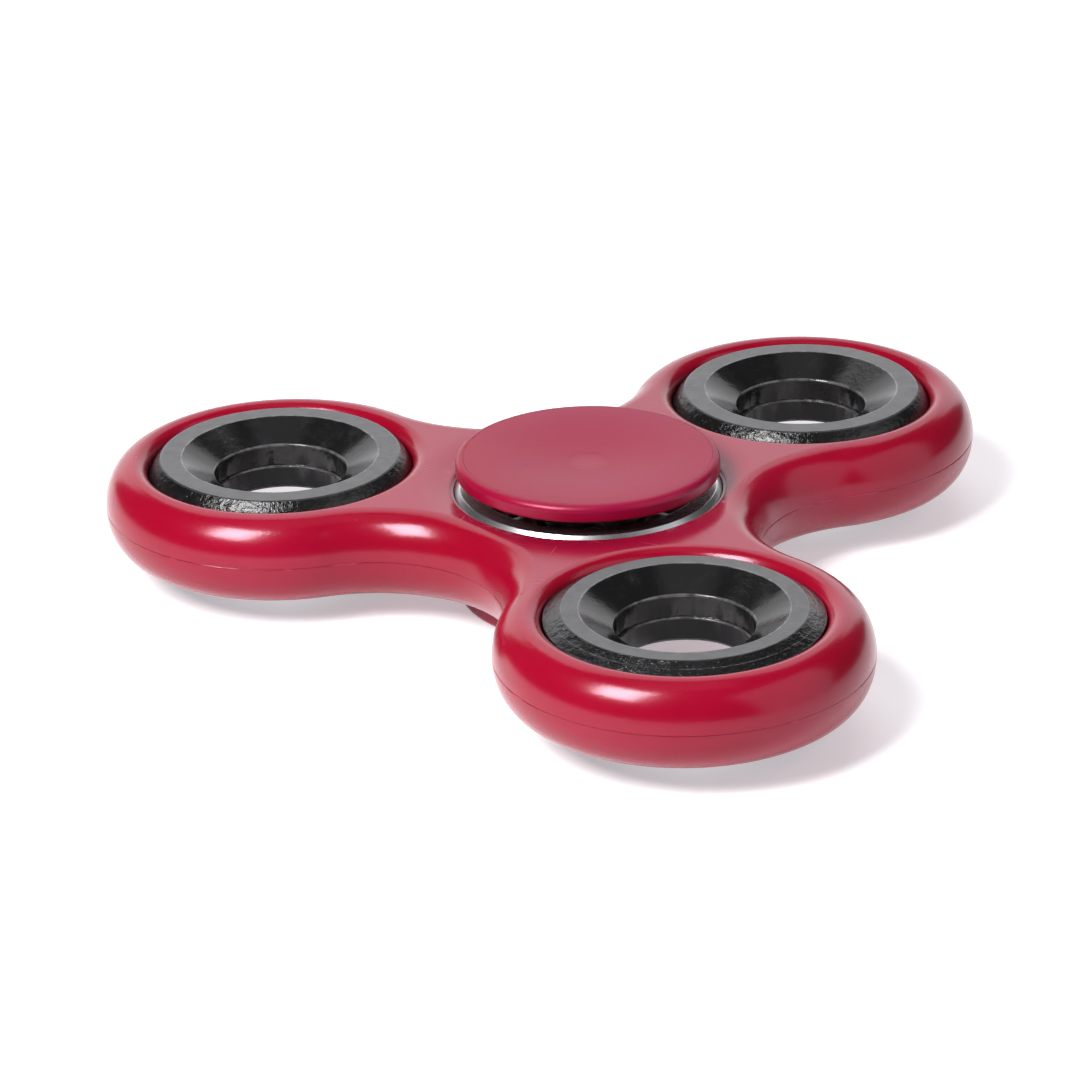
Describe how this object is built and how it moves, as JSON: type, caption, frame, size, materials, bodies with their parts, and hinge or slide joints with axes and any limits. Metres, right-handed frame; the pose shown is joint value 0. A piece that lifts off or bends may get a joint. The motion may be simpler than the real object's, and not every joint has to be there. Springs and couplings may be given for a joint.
{
  "type": "fidget spinner",
  "caption": "Hand spinner with rounded lobes that carry pressed-in ring weights, turning on a ball bearing held between two dished finger caps.",
  "frame": {"origin": "centre of the ball bearing, on the spin axis at the body's mid-plane", "axes": "+Z along the spin axis through the top cap, -Y through the first lobe, +X across the other two lobes"},
  "size_m": [0.075, 0.0688, 0.0122],
  "materials": {
    "red_body": "satin-gloss moulded plastic",
    "red_cap": "satin moulded plastic",
    "black_metal": "black coated cast metal",
    "bearing_steel": "ground and polished steel",
    "ball_steel": "polished steel",
    "cage_steel": "pressed strip steel"
  },
  "bodies": {
    "hub": {"inner_race": "bearing_steel", "top_cap": "red_cap", "bottom_cap": "red_cap"},
    "rotor": {"body": "red_body", "outer_race": "bearing_steel", "weight_1": "black_metal", "weight_2": "black_metal", "weight_3": "black_metal"},
    "cage": {"cage_upper": "cage_steel", "cage_lower": "cage_steel", "cage_rivet_1": "cage_steel", "cage_rivet_2": "cage_steel", "cage_rivet_3": "cage_steel", "cage_rivet_4": "cage_steel", "cage_rivet_5": "cage_steel", "cage_rivet_6": "cage_steel", "cage_rivet_7": "cage_steel"},
    "rolling_ball_1": {"ball_1": "ball_steel"},
    "rolling_ball_2": {"ball_2": "ball_steel"},
    "rolling_ball_3": {"ball_3": "ball_steel"},
    "rolling_ball_4": {"ball_4": "ball_steel"},
    "rolling_ball_5": {"ball_5": "ball_steel"},
    "rolling_ball_6": {"ball_6": "ball_steel"},
    "rolling_ball_7": {"ball_7": "ball_steel"}
  },
  "joints": [
    {"name": "rotor_spin", "type": "hinge", "parent": "hub", "child": "rotor", "pos_m": [0, 0, 0], "axis": [0, 0, 1], "continuous": true},
    {"name": "cage_spin", "type": "hinge", "parent": "hub", "child": "cage", "pos_m": [0, 0, 0], "axis": [0, 0, 1], "continuous": true},
    {"name": "ball_spin_1", "type": "hinge", "parent": "cage", "child": "rolling_ball_1", "pos_m": [-0.00181, -0.00728, 0], "axis": [0, 0, 1], "continuous": true},
    {"name": "ball_spin_2", "type": "hinge", "parent": "cage", "child": "rolling_ball_2", "pos_m": [0.00456, -0.00596, 0], "axis": [0, 0, 1], "continuous": true},
    {"name": "ball_spin_3", "type": "hinge", "parent": "cage", "child": "rolling_ball_3", "pos_m": [0.0075, -0.00015, 0], "axis": [0, 0, 1], "continuous": true},
    {"name": "ball_spin_4", "type": "hinge", "parent": "cage", "child": "rolling_ball_4", "pos_m": [0.00479, 0.00577, 0], "axis": [0, 0, 1], "continuous": true},
    {"name": "ball_spin_5", "type": "hinge", "parent": "cage", "child": "rolling_ball_5", "pos_m": [-0.00152, 0.00734, 0], "axis": [0, 0, 1], "continuous": true},
    {"name": "ball_spin_6", "type": "hinge", "parent": "cage", "child": "rolling_ball_6", "pos_m": [-0.00669, 0.00339, 0], "axis": [0, 0, 1], "continuous": true},
    {"name": "ball_spin_7", "type": "hinge", "parent": "cage", "child": "rolling_ball_7", "pos_m": [-0.00682, -0.00312, 0], "axis": [0, 0, 1], "continuous": true}
  ],
  "couplings": [
    {"joint": "cage_spin", "follows": "rotor_spin", "ratio": 0.6323},
    {"joint": "ball_spin_1", "follows": "rotor_spin", "ratio": 1.7573},
    {"joint": "ball_spin_2", "follows": "rotor_spin", "ratio": 1.7573},
    {"joint": "ball_spin_3", "follows": "rotor_spin", "ratio": 1.7573},
    {"joint": "ball_spin_4", "follows": "rotor_spin", "ratio": 1.7573},
    {"joint": "ball_spin_5", "follows": "rotor_spin", "ratio": 1.7573},
    {"joint": "ball_spin_6", "follows": "rotor_spin", "ratio": 1.7573},
    {"joint": "ball_spin_7", "follows": "rotor_spin", "ratio": 1.7573}
  ]
}
